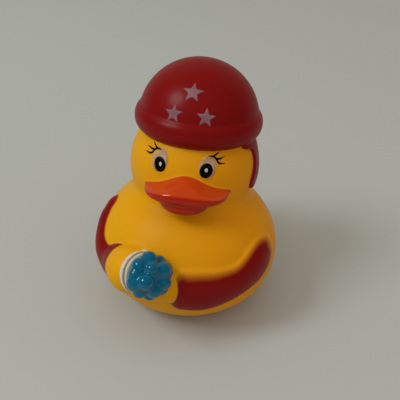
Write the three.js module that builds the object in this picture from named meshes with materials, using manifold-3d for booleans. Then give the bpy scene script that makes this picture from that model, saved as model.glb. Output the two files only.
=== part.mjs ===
import * as THREE from 'three';
import { LoftGeometry } from 'three/addons/geometries/LoftGeometry.js';
import { mergeVertices } from 'three/addons/utils/BufferGeometryUtils.js';
import Module from 'manifold-3d';

// Bath duck with a helmet, holding a little hose: a hollow rotocast vinyl moulding
// with a squeaker pressed into its base. Millimetres, +Z up, the duck faces -Y.
// Its own left is +X. Heights are measured from the table.

// Body sizes
const bodyHalfWidth = 26.3;
const bodyFront = 25.3;
const bodyBack = 28;
const bodyRise = 21;
const bowlDepth = 19.4;
const bowlFullness = 2.15;
const baseCut = 1.8;
const beltHeight = bowlDepth - baseCut;

// Head sizes
const headHalfWidth = 17.9;
const headHalfDepth = 17.6;
const headHalfHeight = 17.4;
const headRise = 24;
const headHeight = beltHeight + headRise;
const headSetBack = 4.5;
const neckFillet = 3.2;

// Moulding walls
const wall = 1.8;
const floorThickness = 2.6;

// Helmet sizes, measured from the middle of its rolled brim
const helmetOffset = 0.5;
const helmetSetBack = 3;
const helmetHeight = 12.7;
const brimRadius = 17.8;
const brimHeight = 7;
const brimThickness = 2.4;
const domeRadius = 16.7;
const domeRise = 16.2;
const helmetDepthRatio = 1.03;
const helmetTipBack = 6;
const helmetLean = 1.5;

// Chin strap, a raised band down each side of the head. Its foot is placed from the middle
// of the head, further back on the right, and it leans towards the chin
const strapRelief = 0.8;
const strapWidth = 4.6;
const strapDrop = 1.6;
const strapForward = 3;
const strapSetBack = 3.2;
const strapTilt = 28;
const gussetStart = 8;
const gussetReach = 4;

// Face
const faceOffset = 0.7;
const eyeOffset = -0.2;
const eyeSpacing = 13;
const eyeHeight = 7.2;
const eyeHalfWidth = 2.2;
const eyeHalfHeight = 3.6;
const eyeRelief = 0.12;
const eyeLean = 12;
const eyeCutReach = 2;

// Beak, measured from the middle of the head
const billHalfSpan = 11.3;
const billReach = 23.9;
const billHeight = -0.4;
const lipAbove = 1.9;
const lipBelow = 1.1;
const billBluntness = 2.4;
const bridgeHalfWidth = 6;
const bridgeRise = 3.6;
const lowerBillHalfWidth = 6.3;
const lowerBillHalfHeight = 2.6;
const lowerBillDrop = 1.9;
const lowerBillSetBack = 5.6;

// Arms and hands. Bearings are in degrees round the body from the duck's left
const forearmRise = 1.5;
const forearmHeight = beltHeight + forearmRise;
const shoulderRadius = 4.4;
const sleeveRadius = 5.1;
const cuffRadius = 6;
const cuffBearing = -83;
const cuffEdge = 0.6;
const cuffSlant = 0.22;
const fistRadius = 6.4;
const fistBearing = -117;
const fistLift = 2.6;
const fistStandOff = 0.4;
const palmHalfSize = new THREE.Vector3(4.6, 3.4, 4.8);
const palmTurn = 11;
const palmSink = 0.6;

// Each row is a station along an arm: its bearing, its height over the forearm, how far it
// stands out of the body, and its radius. The left arm's oval is taller than it is deep
const sleeveStretch = 1.6;
const leftArm = [
  [-15, 2.8, 0.5, 3.3],
  [-24, 2.4, 1.1, 4.1],
  [-34, 1.4, 1.5, 4],
  [-46, 0.2, 1.6, 3.5],
  [-58, -0.6, 1.7, 3.9],
  [-71, -1.2, 1.7, 4.5],
  [cuffBearing, -1.1, 1.7, 4.4],
];
const rightArm = [
  [-172, 7.6, 0.5, shoulderRadius],
  [-165, 4.2, 1, sleeveRadius + 0.3],
  [-153, 0.2, 1.6, sleeveRadius + 0.9],
  [-138, -0.6, 2.2, sleeveRadius + 0.7],
];
const elbow = [-141, 0, 2.2, sleeveRadius];
const wristShare = 0.45;

// Hose end and the burst of water from it
const collarRadius = 5.8;
const collarLength = 3;
const collarStandOff = 3.4;
const grooveWidth = 0.6;
const grooveDepth = 0.5;
const waterRadius = 5.2;
const waterStandOff = 1.6;
const knobRadius = 2;
const knobCount = 10;
const knobRingInset = 0.7;
const knobRingRise = 1;
const frontRingInset = 1.5;

// Tail, measured from where its middle line leaves the inside of the body
const tailRoot = 18;
const tailLength = 15;
const tailRise = 12;
const tailHalfWidth = 11;
const tailFlatness = 0.68;

// Squeaker
const holeRadius = 6.5;
const seatRadius = 8.3;
const seatDepth = 1.5;
const clearance = 0.3;
const caseHeight = 9;
const caseWall = 0.9;
const ledgeHeight = 5.2;
const ledgeBore = 3;
const reedThickness = 0.3;
const reedWidth = 2.6;
const slotWidth = 1.8;
const slotLength = 6;

const yellowVinyl = new THREE.MeshStandardMaterial({ color: '#d8981c', roughness: 0.45, metalness: 0 });
const redPaint = new THREE.MeshStandardMaterial({ color: '#8e1713', roughness: 0.4, metalness: 0 });
const orangePaint = new THREE.MeshStandardMaterial({ color: '#bf4419', roughness: 0.35, metalness: 0 });
const whitePaint = new THREE.MeshStandardMaterial({ color: '#d9d2c8', roughness: 0.4, metalness: 0 });
const bluePaint = new THREE.MeshStandardMaterial({ color: '#24708f', roughness: 0.25, metalness: 0 });
const whitePlastic = new THREE.MeshStandardMaterial({ color: '#e4e2dc', roughness: 0.5, metalness: 0 });
const clearPlastic = new THREE.MeshStandardMaterial({ color: '#c9cdd0', roughness: 0.3, metalness: 0 });

const wasm = await Module();
wasm.setup();

const degrees = THREE.MathUtils.degToRad;

// A geometry as a closed solid, its shared corners merged and its empty faces dropped
function toSolid(geometry) {
  const bare = new THREE.BufferGeometry();
  bare.setAttribute('position', geometry.attributes.position);
  bare.setIndex(geometry.index);
  const merged = mergeVertices(bare, 1e-4);
  const corners = merged.index.array;
  const faces = [];
  for (let i = 0; i < corners.length; i += 3) {
    const [a, b, c] = corners.slice(i, i + 3);
    if (a !== b && b !== c && c !== a) faces.push(a, b, c);
  }
  const vertProperties = new Float32Array(merged.attributes.position.array);
  return new wasm.Manifold(new wasm.Mesh({ numProp: 3, vertProperties, triVerts: new Uint32Array(faces) }));
}

// A solid as a mesh geometry whose face groups follow the painted forms it was joined from
function toGeometry(solid, paints) {
  const mesh = solid.getMesh();
  const geometry = new THREE.BufferGeometry();
  geometry.setAttribute('position', new THREE.BufferAttribute(mesh.vertProperties, 3));
  geometry.setIndex(new THREE.BufferAttribute(mesh.triVerts, 1));
  for (let run = 0; run < mesh.runOriginalID.length; run++) {
    const start = mesh.runIndex[run];
    const paint = paints.get(mesh.runOriginalID[run]) ?? 0;
    geometry.addGroup(start, mesh.runIndex[run + 1] - start, paint);
  }
  geometry.computeVertexNormals();
  return geometry;
}

function joined(solids) {
  return solids.reduce((whole, solid) => whole.add(solid));
}

function revolved(profile, segments) {
  const points = profile.map(([radius, height]) => new THREE.Vector2(radius, height));
  return new THREE.LatheGeometry(points, segments).rotateX(Math.PI / 2);
}

function ellipsoid(centre, halfSize, segments = 18, rings = 12) {
  const geometry = new THREE.SphereGeometry(1, segments, rings).rotateX(Math.PI / 2);
  return geometry.scale(halfSize.x, halfSize.y, halfSize.z).translate(centre.x, centre.y, centre.z);
}

// Half-size of the body's section at a height, as a share of its belt
function bodyShare(height, grow) {
  const above = (height - beltHeight) / (bodyRise + grow);
  const below = (beltHeight - height) / (bowlDepth + grow);
  if (above >= 1 || below >= 1) return 0;
  if (above > 0) return Math.sqrt(1 - above ** 2);
  return (1 - below ** bowlFullness) ** (1 / bowlFullness);
}

function headShare(height, grow) {
  const rise = Math.abs(height - headHeight) / (headHalfHeight + grow);
  return rise >= 1 ? 0 : Math.sqrt(1 - rise ** 2);
}

// How far the body's skin lies from the axis at a height and a bearing round it
function bodyReach(height, bearing, grow) {
  const share = bodyShare(height, grow);
  if (share === 0) return 0;
  const depth = Math.sin(bearing) < 0 ? bodyFront : bodyBack;
  const across = Math.cos(bearing) / (share * (bodyHalfWidth + grow));
  const along = Math.sin(bearing) / (share * (depth + grow));
  return 1 / Math.hypot(across, along);
}

// The same for the head, whose middle is set back from the body's axis
function headReach(height, bearing, grow) {
  const share = headShare(height, grow);
  if (share === 0) return 0;
  const halfWidth = share * (headHalfWidth + grow);
  const halfDepth = share * (headHalfDepth + grow);
  const a = (Math.cos(bearing) / halfWidth) ** 2 + (Math.sin(bearing) / halfDepth) ** 2;
  const b = Math.sin(bearing) * headSetBack / halfDepth ** 2;
  const c = (headSetBack / halfDepth) ** 2 - 1;
  const root = b * b - a * c;
  return root < 0 ? 0 : Math.max(0, (b + Math.sqrt(root)) / a);
}

// The larger of two reaches, filleted where they are nearly equal
function filletedMax(a, b, fillet) {
  const overlap = Math.max(fillet - Math.abs(a - b), 0) / fillet;
  return Math.max(a, b) + overlap * overlap * fillet / 4;
}

function skinReach(height, bearing, grow = 0) {
  return filletedMax(bodyReach(height, bearing, grow), headReach(height, bearing, grow), neckFillet);
}

// A point on the skin, proud of it by grow
function onSkin(height, bearing, grow = 0) {
  const reach = skinReach(height, bearing, grow);
  return new THREE.Vector3(reach * Math.cos(bearing), reach * Math.sin(bearing), height);
}

function neckHeightOf(grow) {
  let height = beltHeight;
  while (bodyReach(height, 0, grow) > headReach(height, 0, grow)) height += 0.1;
  return height;
}

// Heights spaced evenly along the curve of the bowl, the shoulders and the head
function skinHeights(bottom, top, grow, steps) {
  const neck = neckHeightOf(grow);
  const spaced = (middle, half, low, high) => {
    const from = Math.asin(THREE.MathUtils.clamp((low - middle) / half, -1, 1));
    const to = Math.asin(THREE.MathUtils.clamp((high - middle) / half, -1, 1));
    const turns = Array.from({ length: steps }, (_, i) => from + (to - from) * i / steps);
    return turns.map((turn) => middle + half * Math.sin(turn));
  };
  const bowl = bottom < beltHeight ? spaced(beltHeight, bowlDepth + grow, bottom, beltHeight) : [];
  const shoulders = spaced(beltHeight, bodyRise + grow, beltHeight, neck);
  const face = spaced(headHeight, headHalfHeight + grow, neck, top);
  return [...bowl, ...shoulders, ...face, top];
}

// Body and head as one lofted skin, grown or shrunk evenly
function skin(bottom, top, grow, sides, steps) {
  const sections = skinHeights(bottom, top, grow, steps).map((height) => {
    const bearings = Array.from({ length: sides }, (_, i) => i / sides * Math.PI * 2);
    return bearings.map((bearing) => onSkin(height, bearing, grow));
  });
  return new LoftGeometry(sections, { capStart: true, capEnd: true });
}

// A round-ended form swept along a curve; each station gives a point and the half-sizes
// of its oval section, across and up
function sweptForm(stations, sides = 16, steps = 12, endRings = 3) {
  const halfSizes = stations.map(({ half }) => new THREE.Vector3(half[0], half[1], 0));
  const path = new THREE.CatmullRomCurve3(stations.map(({ at }) => at), false, 'catmullrom');
  const sizes = new THREE.CatmullRomCurve3(halfSizes, false, 'catmullrom');
  const ring = (t, push, share) => {
    const tangent = path.getTangent(t);
    const rise = new THREE.Vector3(0, 0, 1).addScaledVector(tangent, -tangent.z).normalize();
    const side = rise.clone().cross(tangent);
    const size = sizes.getPoint(t);
    const centre = path.getPoint(t).addScaledVector(tangent, push * Math.min(size.x, size.y));
    return Array.from({ length: sides }, (_, i) => {
      const turn = i / sides * Math.PI * 2;
      const point = centre.clone().addScaledVector(side, share * size.x * Math.cos(turn));
      return point.addScaledVector(rise, share * size.y * Math.sin(turn));
    });
  };
  const sections = [];
  for (let i = 1; i <= endRings; i++) {
    const turn = Math.PI / 2 * i / (endRings + 1);
    sections.push(ring(0, -Math.cos(turn), Math.sin(turn)));
  }
  for (let i = 0; i <= steps; i++) sections.push(ring(i / steps, 0, 1));
  for (let i = endRings; i >= 1; i--) {
    const turn = Math.PI / 2 * i / (endRings + 1);
    sections.push(ring(1, Math.cos(turn), Math.sin(turn)));
  }
  return new LoftGeometry(sections, { capStart: true, capEnd: true });
}

// The brim is a rolled cuff and the dome an upright half-oval that rises from inside it
function helmetProfile(shrink, rollSteps, domeSteps) {
  const dome = new THREE.EllipseCurve(0, 0, domeRadius - shrink, domeRise - shrink, 0, Math.PI / 2);
  const domePoints = dome.getPoints(domeSteps).map(({ x, y }) => [Math.max(x, 0), y]);
  if (rollSteps === 0) return [[0, 0], ...domePoints.slice(0, -1), [0, domeRise - shrink]];
  const rollMiddle = brimRadius - brimThickness;
  const foot = -Math.PI / 2;
  const crease = Math.PI * 0.32;
  const roll = new THREE.EllipseCurve(rollMiddle, 0, brimThickness, brimHeight / 2, foot, crease);
  const rollPoints = roll.getPoints(rollSteps).map(({ x, y }) => [x, y]);
  const top = rollPoints.at(-1)[1];
  const aboveCrease = domePoints.slice(0, -1).filter(([, height]) => height > top + 0.2);
  return [[0, -brimHeight / 2], ...rollPoints, ...aboveCrease, [0, domeRise]];
}

function helmetForm(shrink, segments, rollSteps, domeSteps) {
  const form = revolved(helmetProfile(shrink, rollSteps, domeSteps), segments);
  form.scale(1, helmetDepthRatio, 1).rotateY(degrees(helmetLean)).rotateX(degrees(-helmetTipBack));
  return form.translate(helmetOffset, headSetBack + helmetSetBack, headHeight + helmetHeight);
}

// Strap outline seen from the side: a leaning band that flares into a gusset at the brim
function strapForms() {
  const half = strapWidth / 2;
  const flareEnd = gussetStart + gussetReach;
  const outline = new THREE.Shape();
  outline.absarc(0, 0, half, Math.PI, Math.PI * 2, false);
  outline.lineTo(half, gussetStart);
  outline.quadraticCurveTo(half, flareEnd, half + gussetReach, flareEnd);
  outline.lineTo(-half - gussetReach, flareEnd);
  outline.quadraticCurveTo(-half, flareEnd, -half, gussetStart);
  outline.closePath();
  const depth = headHalfWidth + 2 * strapRelief;
  const across = new THREE.Matrix4().makeBasis(
    new THREE.Vector3(0, 1, 0), new THREE.Vector3(0, 0, 1), new THREE.Vector3(1, 0, 0));
  const prism = (foot) => new THREE.ExtrudeGeometry(outline, { depth, bevelEnabled: false, curveSegments: 8 })
    .rotateZ(-degrees(strapTilt))
    .applyMatrix4(across)
    .translate(0, headSetBack + foot, headHeight - strapDrop);
  const mirrored = prism(strapSetBack).scale(-1, 1, 1);
  flipFaces(mirrored);
  return [toSolid(prism(-strapForward)), toSolid(mirrored)];
}

// A mirrored geometry has its faces inside out until their corners are listed backwards
function flipFaces(geometry) {
  const position = geometry.attributes.position;
  const count = position.count;
  const flipped = new Float32Array(count * 3);
  for (let i = 0; i < count; i++) {
    const source = i - i % 3 + (2 - i % 3);
    flipped.set([position.getX(source), position.getY(source), position.getZ(source)], i * 3);
  }
  geometry.setAttribute('position', new THREE.BufferAttribute(flipped, 3));
}

function eyeOutline(side) {
  const outline = new THREE.Shape();
  outline.absellipse(0, 0, eyeHalfWidth, eyeHalfHeight, 0, Math.PI * 2, false, 0);
  const depth = headHalfDepth + eyeCutReach;
  const prism = new THREE.ExtrudeGeometry(outline, { depth, bevelEnabled: false, curveSegments: 10 });
  prism.rotateZ(-degrees(eyeLean)).rotateX(Math.PI / 2);
  return prism.translate(eyeOffset + side * eyeSpacing / 2, headSetBack, headHeight + eyeHeight);
}

// Upper bill: oval sections lofted from inside the face to a blunt tip. Its lip is even and
// its middle rises to the bridge, which fades out towards the tip
function upperBill() {
  const face = headSetBack - Math.sqrt(headHalfDepth ** 2 - billHalfSpan ** 2);
  const tip = headSetBack - billReach;
  const rootDepth = 4;
  const sides = 28;
  const steps = 12;
  const section = (y, span, thinning, rise) => Array.from({ length: sides }, (_, i) => {
    const turn = i / sides * Math.PI * 2;
    const x = span * Math.cos(turn);
    const bridge = rise * Math.exp(-((x / bridgeHalfWidth) ** 2));
    const thickness = Math.sin(turn) > 0 ? lipAbove * thinning + bridge : lipBelow * thinning;
    return new THREE.Vector3(faceOffset + x, y, headHeight + billHeight + thickness * Math.sin(turn));
  });
  const sections = [section(face + rootDepth, billHalfSpan, 1, bridgeRise)];
  for (let i = 0; i < steps; i++) {
    const along = Math.sin(i / steps * Math.PI / 2);
    const span = billHalfSpan * (1 - along ** billBluntness) ** (1 / billBluntness);
    const thinning = Math.sqrt(1 - along ** 5);
    sections.push(section(face + (tip - face) * along, span, thinning, bridgeRise * (1 - along ** 2)));
  }
  return new LoftGeometry(sections, { capStart: true, capEnd: true });
}

function lowerBill() {
  const centre = new THREE.Vector3(
    faceOffset, headSetBack - billReach + lowerBillSetBack, headHeight + billHeight - lowerBillDrop);
  const halfSize = new THREE.Vector3(lowerBillHalfWidth, lowerBillSetBack - 1, lowerBillHalfHeight);
  return ellipsoid(centre, halfSize);
}

// A point sunk into the skin by depth, at a bearing in degrees from the duck's left
function sunk(bearing, height, depth) {
  return onSkin(height, degrees(bearing), -depth);
}

function armStation([bearing, rise, proud, radius], stretch = 1) {
  return { at: sunk(bearing, forearmHeight + rise, radius - proud), half: [radius, stretch * radius] };
}

// The left arm ends at its cuff, which is cut at a slant
function leftSleeve() {
  const arm = toSolid(sweptForm(leftArm.map((row) => armStation(row, sleeveStretch)), 20, 14));
  const normal = new THREE.Vector3(1, 0, -cuffSlant).normalize();
  const offset = normal.dot(new THREE.Vector3(cuffEdge, 0, forearmHeight));
  return arm.trimByPlane(normal.toArray(), offset);
}

// The fist stands on the skin, in front of the right forearm
const fistMiddle = sunk(fistBearing, forearmHeight + fistLift, -fistStandOff);

function rightSleeve() {
  const stations = rightArm.map((row) => armStation(row));
  const wrist = fistMiddle.clone().lerp(armStation(elbow).at, wristShare);
  return toSolid(sweptForm([...stations, { at: wrist, half: [cuffRadius, cuffRadius] }]));
}

// The hose points forwards, to the duck's left and up; forms made along +Z are turned to it
const hoseDirection = new THREE.Vector3(0.71, -0.61, 0.35).normalize();

function alongHose(geometry, distance) {
  const turn = new THREE.Quaternion().setFromUnitVectors(new THREE.Vector3(0, 0, 1), hoseDirection);
  const middle = fistMiddle.clone().addScaledVector(hoseDirection, distance);
  return geometry.applyQuaternion(turn).translate(middle.x, middle.y, middle.z);
}

function hoseCollar() {
  const groove = collarLength * 0.62;
  const bevel = 0.4;
  return alongHose(revolved([
    [0, 0],
    [collarRadius - bevel, 0],
    [collarRadius, bevel],
    [collarRadius, groove],
    [collarRadius - grooveDepth, groove + grooveWidth / 2],
    [collarRadius - grooveDepth / 2, groove + grooveWidth],
    [collarRadius - grooveDepth / 2, collarLength - bevel],
    [collarRadius - grooveDepth / 2 - bevel, collarLength],
    [0, collarLength],
  ], 24), collarStandOff);
}

// Water: a round mass with a ring of knobs about its middle and a few more in front
function waterForms() {
  const distance = collarStandOff + collarLength + waterStandOff;
  const origin = new THREE.Vector3();
  const core = new THREE.Vector3(waterRadius, waterRadius, waterRadius);
  const knob = new THREE.Vector3(knobRadius, knobRadius, knobRadius);
  const forms = [alongHose(ellipsoid(origin, core, 14, 10), distance)];
  const ring = (count, radius, rise, start) => {
    for (let i = 0; i < count; i++) {
      const turn = start + i / count * Math.PI * 2;
      const place = new THREE.Vector3(radius * Math.cos(turn), radius * Math.sin(turn), rise);
      forms.push(alongHose(ellipsoid(place, knob, 9, 6), distance));
    }
  };
  ring(knobCount, waterRadius - knobRingInset, knobRingRise, 0.3);
  ring(Math.floor(knobCount / 2), waterRadius / 2, waterRadius - frontRingInset, 0.1);
  return forms.map(toSolid);
}

function tail() {
  const station = (along, up, width) => ({
    at: new THREE.Vector3(0, tailRoot + along * tailLength, beltHeight + up * tailRise),
    half: [width * tailHalfWidth, width * tailHalfWidth * tailFlatness],
  });
  return sweptForm([
    station(0, 0, 1),
    station(0.45, 0.25, 0.9),
    station(0.8, 0.62, 0.62),
    station(1, 1, 0.32),
  ], 24, 12, 4);
}

// The whole moulding, its painted areas remembered by the form they belong to
function duckShell() {
  const materials = [yellowVinyl, redPaint, orangePaint, whitePaint, bluePaint];
  const paints = new Map();
  const painted = (solid, material) => {
    const marked = solid.asOriginal();
    paints.set(marked.originalID(), materials.indexOf(material));
    return marked;
  };
  const helmetTop = headHeight + helmetHeight;
  const outside = painted(toSolid(skin(0, helmetTop, 0, 40, 8)), yellowVinyl);
  const straps = toSolid(skin(beltHeight, helmetTop, strapRelief, 40, 6));
  const eyes = toSolid(skin(beltHeight, helmetTop, eyeRelief, 40, 6));
  const forms = [outside];
  for (const prism of strapForms()) forms.push(painted(straps.intersect(prism), redPaint));
  for (const side of [-1, 1]) forms.push(painted(eyes.intersect(toSolid(eyeOutline(side))), whitePaint));
  forms.push(painted(toSolid(helmetForm(0, 40, 6, 9)), redPaint));
  forms.push(painted(toSolid(upperBill()), orangePaint));
  forms.push(painted(toSolid(lowerBill()), orangePaint));
  forms.push(painted(toSolid(tail()), yellowVinyl));
  forms.push(painted(leftSleeve(), redPaint));
  forms.push(painted(rightSleeve(), redPaint));
  const palmMiddle = sunk(cuffBearing - palmTurn, forearmHeight, palmSink);
  forms.push(painted(toSolid(ellipsoid(palmMiddle, palmHalfSize)), yellowVinyl));
  const fistSize = new THREE.Vector3(fistRadius, fistRadius, fistRadius);
  forms.push(painted(toSolid(ellipsoid(fistMiddle, fistSize)), yellowVinyl));
  forms.push(painted(toSolid(hoseCollar()), whitePaint));
  for (const water of waterForms()) forms.push(painted(water, bluePaint));

  const inside = toSolid(skin(floorThickness, helmetTop, -wall, 20, 4));
  const crown = toSolid(helmetForm(wall, 20, 0, 5));
  const hole = toSolid(revolved([
    [0, -1],
    [seatRadius, -1],
    [seatRadius, seatDepth],
    [holeRadius, seatDepth],
    [holeRadius, floorThickness + 1],
    [0, floorThickness + 1],
  ], 36));
  const shell = joined(forms).subtract(joined([inside, crown, hole]));
  const mesh = new THREE.Mesh(toGeometry(shell, paints), materials);
  mesh.name = 'duck_shell';
  return mesh;
}

function named(name, geometry, material) {
  const mesh = new THREE.Mesh(geometry, material);
  mesh.name = name;
  return mesh;
}

// Squeaker: a flanged case pressed in the base, a slotted holder in it and a reed between
function squeakerCase() {
  const tube = holeRadius - clearance;
  const bore = tube - caseWall;
  return named('squeaker_case', revolved([
    [bore, clearance],
    [seatRadius - clearance, clearance],
    [seatRadius - clearance, seatDepth - clearance],
    [tube, seatDepth - clearance],
    [tube, caseHeight - caseWall / 2],
    [tube - caseWall / 2, caseHeight],
    [ledgeBore, caseHeight],
    [ledgeBore, ledgeHeight],
    [bore, ledgeHeight],
    [bore, clearance],
  ], 36), whitePlastic);
}

function squeakerHolder() {
  const radius = holeRadius - 2 * clearance - caseWall;
  const disc = new THREE.Shape();
  disc.absarc(0, 0, radius, 0, Math.PI * 2, false);
  const slot = new THREE.Path();
  slot.moveTo(-slotLength / 2, -slotWidth / 2);
  slot.lineTo(-slotLength / 2, slotWidth / 2);
  slot.lineTo(slotLength / 2, slotWidth / 2);
  slot.lineTo(slotLength / 2, -slotWidth / 2);
  slot.closePath();
  disc.holes.push(slot);
  const top = ledgeHeight - reedThickness - 2 * clearance;
  const depth = top - 2 * clearance;
  const holder = new THREE.ExtrudeGeometry(disc, { depth, bevelEnabled: false, curveSegments: 16 });
  return named('squeaker_reed_holder', holder.translate(0, 0, 2 * clearance), whitePlastic);
}

function squeakerReed() {
  const halfLength = slotLength / 2 + 1 - reedWidth / 2;
  const strip = new THREE.Shape();
  strip.absarc(halfLength, 0, reedWidth / 2, -Math.PI / 2, Math.PI / 2, false);
  strip.absarc(-halfLength, 0, reedWidth / 2, Math.PI / 2, Math.PI * 1.5, false);
  const cut = { depth: reedThickness, bevelEnabled: false, curveSegments: 8 };
  const reed = new THREE.ExtrudeGeometry(strip, cut);
  return named('squeaker_reed', reed.translate(0, 0, ledgeHeight - clearance - reedThickness), clearPlastic);
}

const duck = new THREE.Group();
duck.add(duckShell(), squeakerCase(), squeakerHolder(), squeakerReed());

// The origin is on the table, under the middle of the duck's outline
const extent = new THREE.Box3().setFromObject(duck);
duck.position.set(-(extent.min.x + extent.max.x) / 2, -(extent.min.y + extent.max.y) / 2, -extent.min.z);

export default duck;
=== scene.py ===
# %% [markdown]
# # A bath duck in soft vinyl
#
# The duck is one hollow moulding of soft PVC, made by turning a hot mould full of liquid
# vinyl until a skin has set on its walls. It comes out yellow all over. The helmet, sleeves
# and beak are sprayed on through metal masks, and the stars and eyes are printed with a
# soft pad. So this scene has one body with paint on it, not a red hat on a yellow head.
#
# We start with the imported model. It gives the true size and the place of every piece, and
# nothing below moves or resizes it.

# %% Load the frame
import math

import bpy
import numpy as np
from mathutils import Matrix, Vector


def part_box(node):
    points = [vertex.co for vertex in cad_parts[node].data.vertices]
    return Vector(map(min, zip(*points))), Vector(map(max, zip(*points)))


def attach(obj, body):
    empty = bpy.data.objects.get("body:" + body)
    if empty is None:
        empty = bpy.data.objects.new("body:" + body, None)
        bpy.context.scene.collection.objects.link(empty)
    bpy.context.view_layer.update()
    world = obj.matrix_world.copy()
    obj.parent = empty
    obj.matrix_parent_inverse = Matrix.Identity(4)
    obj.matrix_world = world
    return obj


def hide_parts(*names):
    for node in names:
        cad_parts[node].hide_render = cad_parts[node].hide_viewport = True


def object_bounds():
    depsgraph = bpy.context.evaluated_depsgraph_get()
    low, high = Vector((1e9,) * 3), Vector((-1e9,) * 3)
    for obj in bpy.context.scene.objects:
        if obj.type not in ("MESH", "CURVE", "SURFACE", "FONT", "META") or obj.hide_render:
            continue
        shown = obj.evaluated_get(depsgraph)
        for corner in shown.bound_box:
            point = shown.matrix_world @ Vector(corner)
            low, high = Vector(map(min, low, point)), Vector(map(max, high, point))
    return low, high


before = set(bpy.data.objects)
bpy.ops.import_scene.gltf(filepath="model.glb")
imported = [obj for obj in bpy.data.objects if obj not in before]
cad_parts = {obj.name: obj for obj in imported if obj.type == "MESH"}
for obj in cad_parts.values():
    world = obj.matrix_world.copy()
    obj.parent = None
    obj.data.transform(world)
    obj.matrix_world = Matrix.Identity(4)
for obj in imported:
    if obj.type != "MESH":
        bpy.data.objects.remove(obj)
cad_low, cad_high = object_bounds()
MM = 0.001
print("nodes:", sorted(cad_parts))
print("size in mm:", [round((b - a) / MM, 1) for a, b in zip(cad_low, cad_high)])

# %% [markdown]
# The squeaker is pressed into the middle of the base, so its box tells where the duck's
# upright axis stands. Every size below is in millimetres from that axis and from the table.

# %% The duck's axis
case_low, case_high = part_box("squeaker_case")
AXIS = Vector(((case_low.x + case_high.x) / 2, (case_low.y + case_high.y) / 2, 0))
print("axis at", [round(v / MM, 2) for v in AXIS])

# %% [markdown]
# ## The camera
#
# The camera looks down at the duck from close by. Level lines that run away from a camera
# meet at the horizon, and how far that lies above the picture gives the tilt. The outline
# gives the distance: the nearer the camera, the larger the helmet looks beside the base.
# A 54 mm lens on a 36 mm frame sees 600 pixels to the unit slope, at 400 pixels across.

# %% Camera
CAMERA_BEARING = 8.5
CAMERA_DISTANCE = 145.4
CAMERA_HEIGHT = 125.1
CAMERA_PITCH = 32.8
CAMERA_PAN = 1.2
CAMERA_ROLL = 3.3
LENS = 54
SENSOR = 36
NEAREST_SEEN = 0.01


def place_camera():
    bearing = math.radians(CAMERA_BEARING)
    heading = math.radians(CAMERA_BEARING - CAMERA_PAN)
    pitch = math.radians(CAMERA_PITCH)
    roll = math.radians(CAMERA_ROLL)
    away = Vector((math.sin(bearing), -math.cos(bearing), 0)) * CAMERA_DISTANCE
    eye = AXIS + (away + Vector((0, 0, CAMERA_HEIGHT))) * MM
    level = Vector((-math.sin(heading), math.cos(heading), 0))
    forward = level * math.cos(pitch) - Vector((0, 0, math.sin(pitch)))
    right = forward.cross(Vector((0, 0, 1))).normalized()
    up = right.cross(forward)
    rolled_right = right * math.cos(roll) + up * math.sin(roll)
    rolled_up = rolled_right.cross(forward)
    turn = Matrix((rolled_right, rolled_up, -forward)).transposed().to_4x4()
    camera_data = bpy.data.cameras.new("camera")
    camera_data.lens = LENS
    camera_data.sensor_width = SENSOR
    camera_data.clip_start = NEAREST_SEEN
    camera = bpy.data.objects.new("camera", camera_data)
    camera.matrix_world = Matrix.Translation(eye) @ turn
    bpy.context.scene.collection.objects.link(camera)
    bpy.context.scene.camera = camera
    print("camera height in mm:", round(eye.z / MM, 1))


place_camera()
bpy.context.scene.view_settings.view_transform = "Standard"

# %% [markdown]
# ## Forms as distances
#
# A rotocast toy has no sharp inner corners: wherever two forms meet, the mould maker left
# a soft fillet. Polygon tools make such fillets one edge at a time. Here each form is a
# formula instead, which says how far a point lies outside it, and two forms are joined by
# taking the smaller distance. If the smaller one is chosen softly, the fillet comes free.

# %% Joining distances
LEAST_SLOPE = 1e-6


def soft_min(a, b, fillet):
    near = np.clip(0.5 + 0.5 * (b - a) / fillet, 0, 1)
    return b * (1 - near) + a * near - fillet * near * (1 - near)


def soft_max(a, b, fillet):
    return -soft_min(-a, -b, fillet)


def oval(x, y, z, centre, half):
    """Nearly the distance to an egg shape with three half-sizes."""
    qx = (x - centre[0]) / half[0]
    qy = (y - centre[1]) / half[1]
    qz = (z - centre[2]) / half[2]
    reach = np.sqrt(qx * qx + qy * qy + qz * qz)
    slope = np.sqrt((qx / half[0]) ** 2 + (qy / half[1]) ** 2 + (qz / half[2]) ** 2)
    return reach * (reach - 1) / np.maximum(slope, LEAST_SLOPE)


print("a 1 mm fillet fills a corner by", -float(soft_min(0, 0, 1)), "mm")

# %% [markdown]
# ### Body and head
#
# The body is an egg with a fuller bowl below its belt, like a boat, so that it stands
# and floats upright. The head is nearly a ball, set a little back. Both could be sculpted
# from a sphere, but an egg's formula has few sizes, and each can be read off the real duck.

# %% Body and head
BODY_HALF_WIDTH = 26.3
BODY_FRONT = 25.3
BODY_BACK = 28
BELT = 17.6
BODY_RISE = 21
BOWL_DEPTH = 19.4
BOWL_FULLNESS = 2.15
HEAD_HALF = (17.9, 17.6, 17.4)
HEAD_HEIGHT = 41.6
HEAD_SET_BACK = 4.5
NECK_FILLET = 3.2
HEAD_CENTRE = (0, HEAD_SET_BACK, HEAD_HEIGHT)


def body(x, y, z):
    half_y = np.where(y < 0, BODY_FRONT, BODY_BACK)
    half_z = np.where(z > BELT, BODY_RISE, BOWL_DEPTH)
    power = np.where(z > BELT, 2.0, BOWL_FULLNESS)
    level = np.sqrt((x / BODY_HALF_WIDTH) ** 2 + (y / half_y) ** 2)
    rise = np.abs(z - BELT) / half_z
    reach = (level ** power + rise ** power) ** (1 / power)
    slope_x, slope_y, slope_z = x / BODY_HALF_WIDTH ** 2, y / half_y ** 2, rise / half_z
    slope = np.sqrt(slope_x ** 2 + slope_y ** 2 + slope_z ** 2)
    return reach * (reach - 1) / np.maximum(slope, LEAST_SLOPE)


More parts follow.
